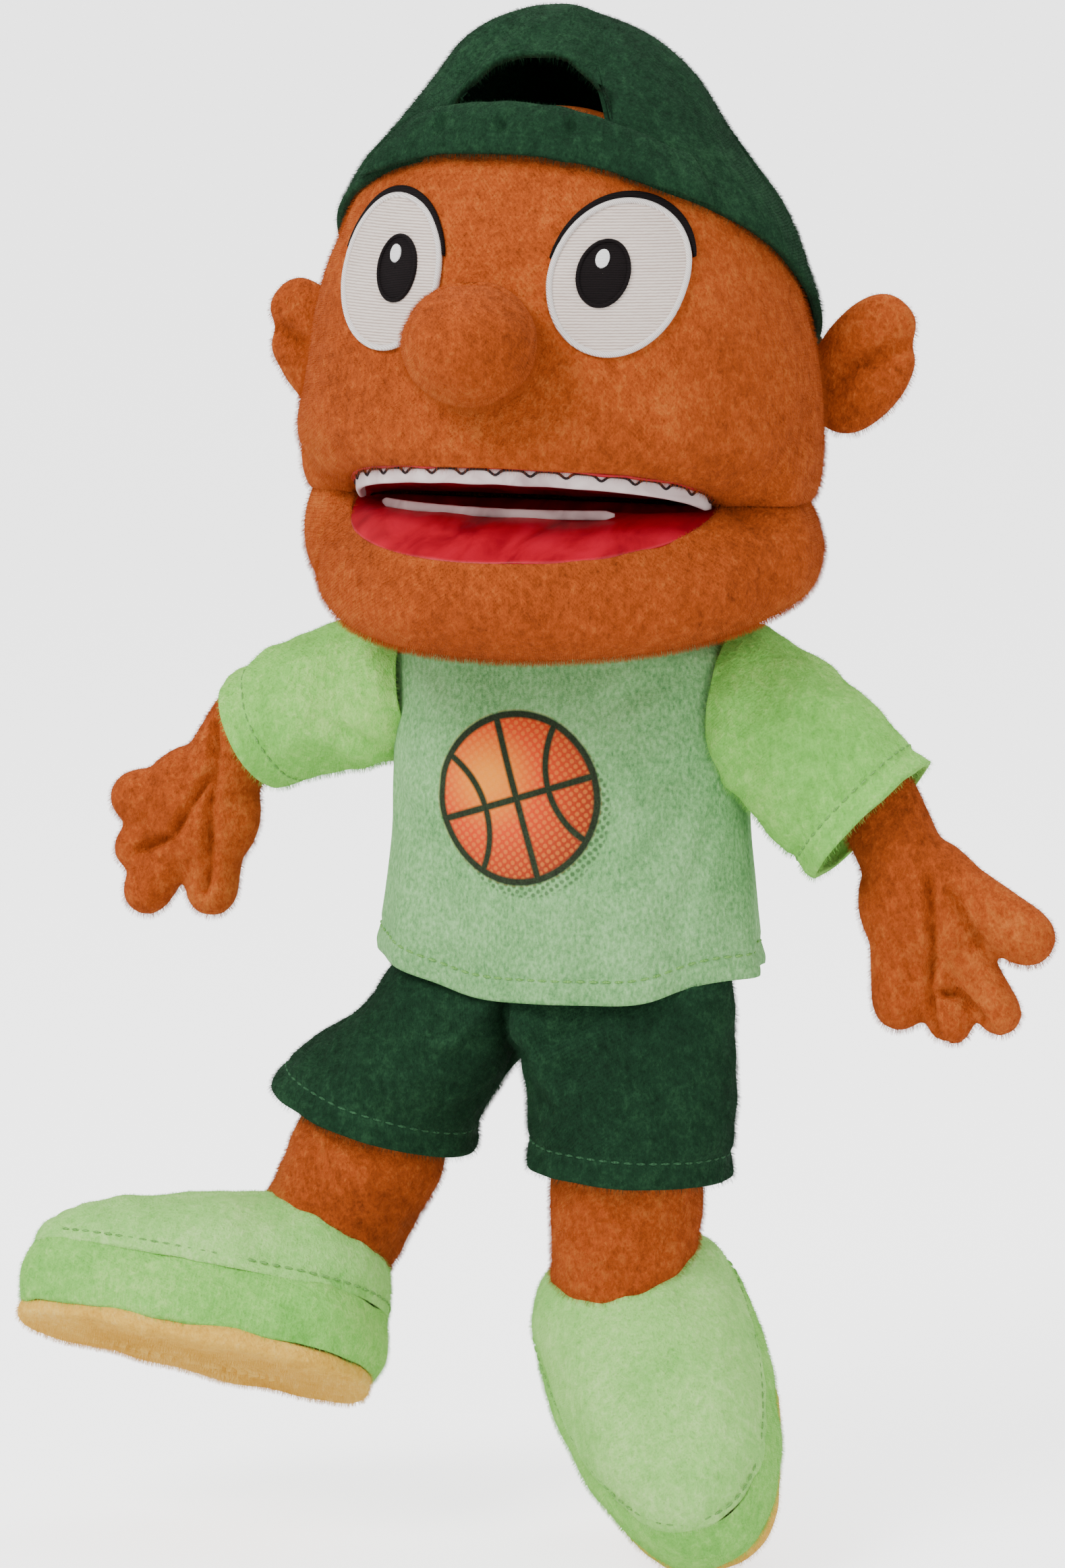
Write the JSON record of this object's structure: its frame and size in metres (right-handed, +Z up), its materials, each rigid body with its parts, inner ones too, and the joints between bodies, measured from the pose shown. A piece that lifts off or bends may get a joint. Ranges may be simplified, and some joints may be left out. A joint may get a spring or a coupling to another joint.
{
  "type": "moving mouth puppet",
  "caption": "Soft plush hand puppet in a backwards cap, shirt and shorts, with a mouth the hand opens, a turning and nodding head, and swinging arms and legs.",
  "frame": {"origin": "middle of the hand opening, level with the hem of the shirt", "axes": "+Z up the body to the top of the cap, -Y to the front where the face looks, +X to the puppet's left"},
  "size_m": [0.29, 0.1871, 0.4297],
  "materials": {
    "plush_skin": "orange-brown short-pile plush",
    "plush_dark_green": "dark green short-pile plush",
    "plush_light_green": "light green short-pile plush",
    "knit_green": "heathered green brushed knit",
    "sole_yellow": "yellow short-pile plush",
    "satin_red": "red satin",
    "satin_pale": "off-white satin",
    "thread_white": "off-white embroidery",
    "thread_black": "black embroidery",
    "lining_tan": "tan woven lining cloth",
    "board_grey": "grey fibreboard"
  },
  "bodies": {
    "torso": {"shirt_front": "knit_green", "shirt_back": "knit_green", "body_lining": "lining_tan", "collar": "knit_green", "shorts_waist": "plush_dark_green", "hip_pad": "plush_dark_green"},
    "neck": {"neck_sleeve": "plush_skin"},
    "head": {"head_front": "plush_skin", "head_back": "plush_skin", "nose": "plush_skin", "ear_right": "plush_skin", "ear_left": "plush_skin", "eye_white_right": "thread_white", "eye_white_left": "thread_white", "eye_pupil_right": "thread_black", "eye_pupil_left": "thread_black", "eye_lid_right": "thread_black", "eye_lid_left": "thread_black", "cap_crown": "plush_dark_green", "cap_strap": "plush_dark_green", "cap_brim": "plush_dark_green", "upper_mouth_lining": "satin_red", "upper_mouth_board": "board_grey", "upper_teeth": "satin_pale", "finger_pocket": "lining_tan"},
    "jaw": {"jaw_shell": "plush_skin", "lower_mouth_lining": "satin_red", "lower_mouth_board": "board_grey", "lower_teeth": "satin_pale", "thumb_pocket": "lining_tan"},
    "sleeve_right": {"sleeve_right": "plush_light_green", "upper_arm_right": "plush_skin"},
    "hand_right": {"hand_right": "plush_skin"},
    "thigh_right": {"shorts_leg_right": "plush_dark_green", "thigh_right": "plush_skin"},
    "leg_right": {"leg_right": "plush_skin", "shoe_top_right": "plush_light_green", "shoe_side_right": "plush_light_green", "shoe_sole_right": "sole_yellow"},
    "sleeve_left": {"sleeve_left": "plush_light_green", "upper_arm_left": "plush_skin"},
    "hand_left": {"hand_left": "plush_skin"},
    "thigh_left": {"shorts_leg_left": "plush_dark_green", "thigh_left": "plush_skin"},
    "leg_left": {"leg_left": "plush_skin", "shoe_top_left": "plush_light_green", "shoe_side_left": "plush_light_green", "shoe_sole_left": "sole_yellow"}
  },
  "joints": [
    {"name": "head_turn", "type": "hinge", "parent": "torso", "child": "neck", "pos_m": [0, 0, 0.1], "axis": [0, 0, 1], "range_deg": [-25, 25]},
    {"name": "head_nod", "type": "hinge", "parent": "neck", "child": "head", "pos_m": [0, 0, 0.104], "axis": [1, 0, 0], "range_deg": [-12, 8]},
    {"name": "jaw_open", "type": "hinge", "parent": "head", "child": "jaw", "pos_m": [0, -0.008, 0.135], "axis": [1, 0, 0], "range_deg": [-12, 12]},
    {"name": "shoulder_right", "type": "hinge", "parent": "torso", "child": "sleeve_right", "pos_m": [-0.06, 0, 0.077], "axis": [0, 1, 0], "range_deg": [-28, 40]},
    {"name": "elbow_right", "type": "hinge", "parent": "sleeve_right", "child": "hand_right", "pos_m": [-0.09634, 0, 0.06589], "axis": [0, 1, 0], "range_deg": [-3, 35]},
    {"name": "hip_right", "type": "hinge", "parent": "torso", "child": "thigh_right", "pos_m": [-0.041, -0.009, -0.02], "axis": [-1, 0, 0], "range_deg": [-15, 30]},
    {"name": "leg_twist_right", "type": "hinge", "parent": "thigh_right", "child": "leg_right", "pos_m": [-0.041, -0.009, -0.02], "axis": [-0.454, 0, -0.891], "range_deg": [-30, 30]},
    {"name": "shoulder_left", "type": "hinge", "parent": "torso", "child": "sleeve_left", "pos_m": [0.06, 0, 0.077], "axis": [0, -1, 0], "range_deg": [-4, 55]},
    {"name": "elbow_left", "type": "hinge", "parent": "sleeve_left", "child": "hand_left", "pos_m": [0.08911, 0, 0.05257], "axis": [0, -1, 0], "range_deg": [-15, 35]},
    {"name": "hip_left", "type": "hinge", "parent": "torso", "child": "thigh_left", "pos_m": [0.021, -0.009, -0.016], "axis": [-1, 0, 0], "range_deg": [-15, 30]},
    {"name": "leg_twist_left", "type": "hinge", "parent": "thigh_left", "child": "leg_left", "pos_m": [0.021, -0.009, -0.016], "axis": [-0.0349, 0, -0.9994], "range_deg": [-30, 30]}
  ]
}
